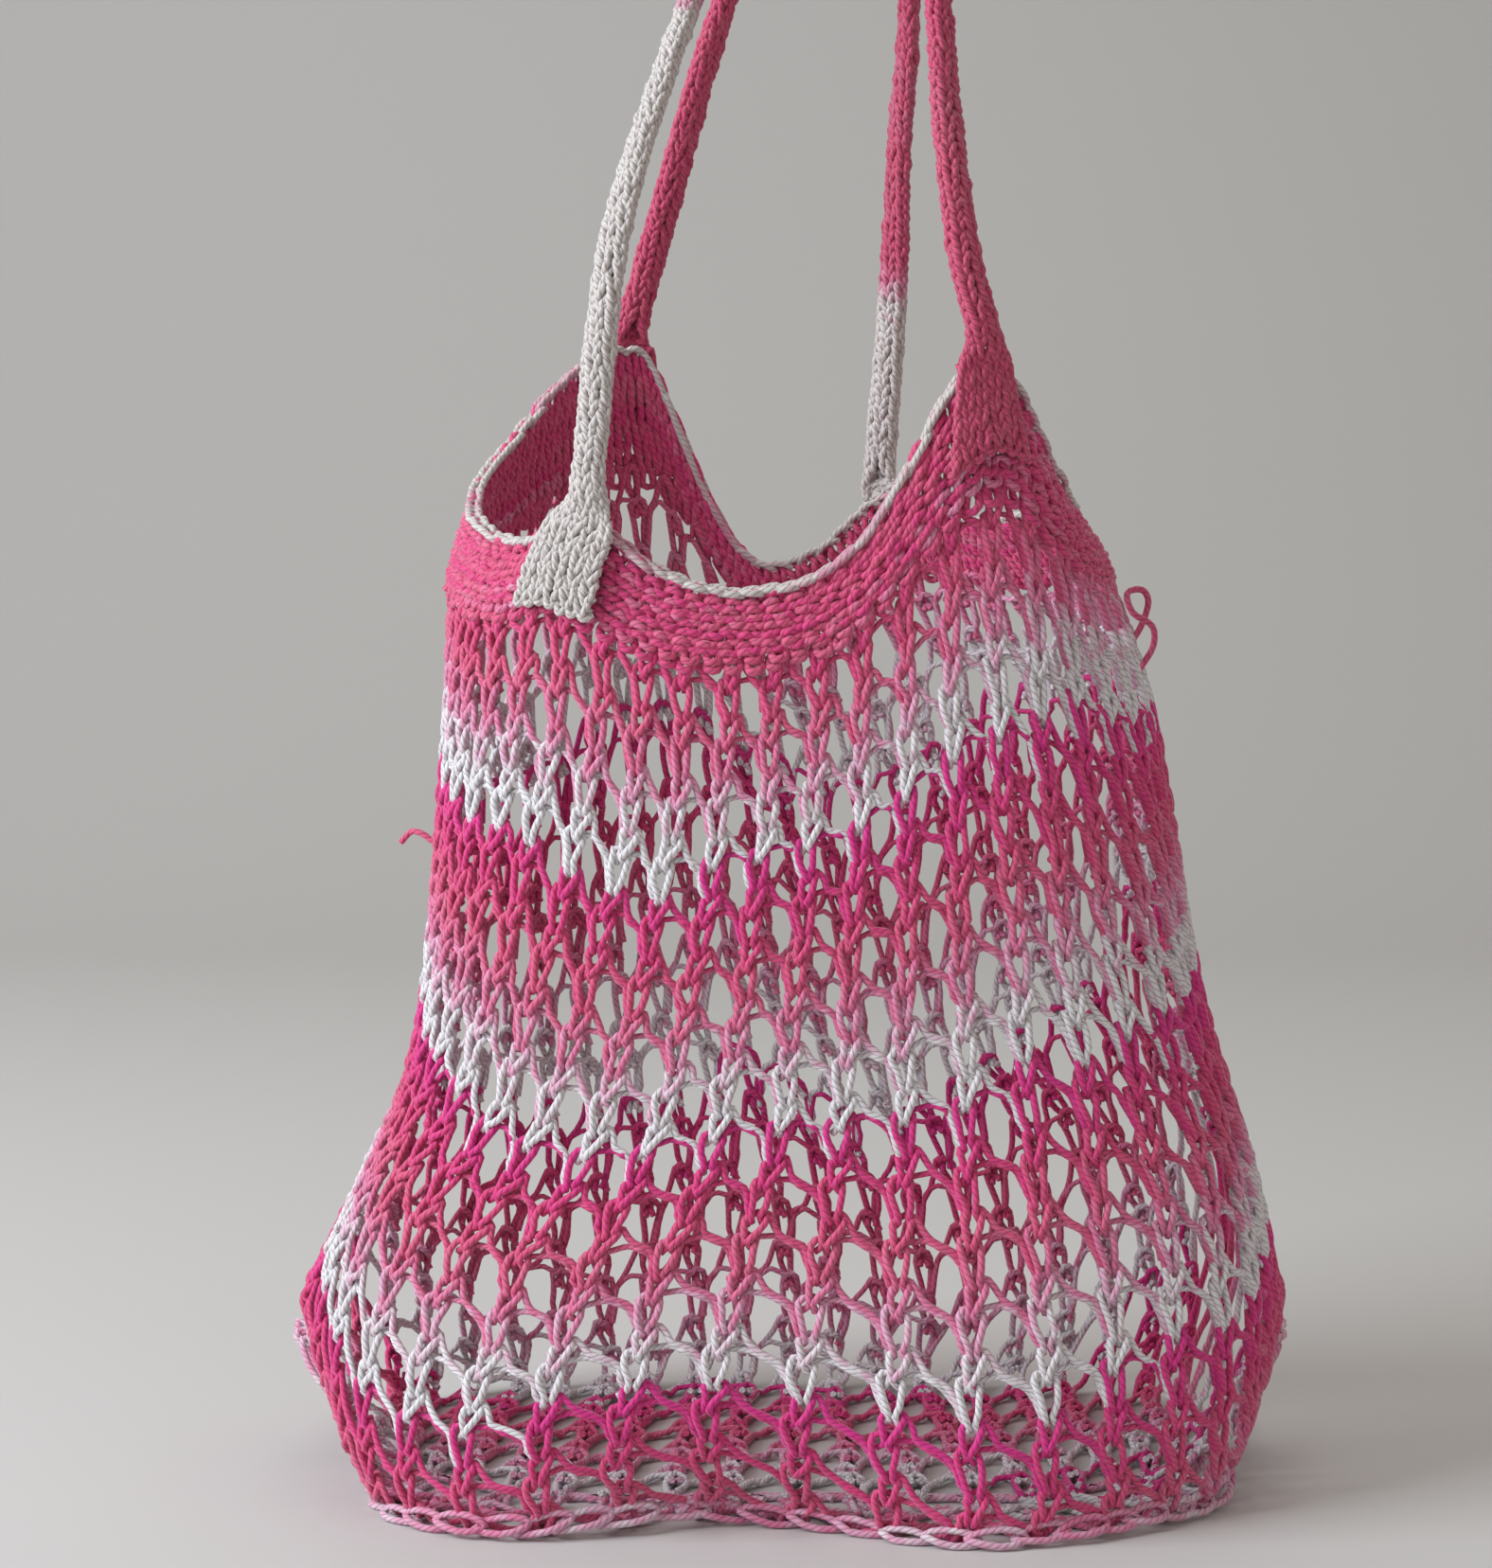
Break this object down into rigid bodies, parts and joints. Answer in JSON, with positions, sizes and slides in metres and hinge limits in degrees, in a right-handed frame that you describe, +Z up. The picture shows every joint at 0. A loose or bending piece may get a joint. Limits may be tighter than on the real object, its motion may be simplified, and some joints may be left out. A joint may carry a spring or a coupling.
{
  "type": "string bag",
  "caption": "Knitted net bag standing full and upright, with a dense band round its mouth, two long knitted strap handles and a flat seam along the bottom.",
  "frame": {"origin": "under the middle of the bag's box, on the surface that it stands on", "axes": "+Z up, front towards -Y, the bag's width along X"},
  "size_m": [0.343, 0.205, 0.5964],
  "materials": {
    "net_yarn": "soft mercerised cotton yarn, dyed in long stretches of hot pink, light pink and white",
    "band_yarn": "soft cotton yarn in purl rows, crimson pink with lighter rows",
    "front_strap_yarn": "soft cotton yarn, white to light pink",
    "back_strap_yarn": "soft cotton yarn, coral pink to white"
  },
  "bodies": {
    "root": {"net_body": "net_yarn", "rim_band": "band_yarn", "handle_front": "front_strap_yarn", "handle_back": "back_strap_yarn"}
  },
  "joints": []
}
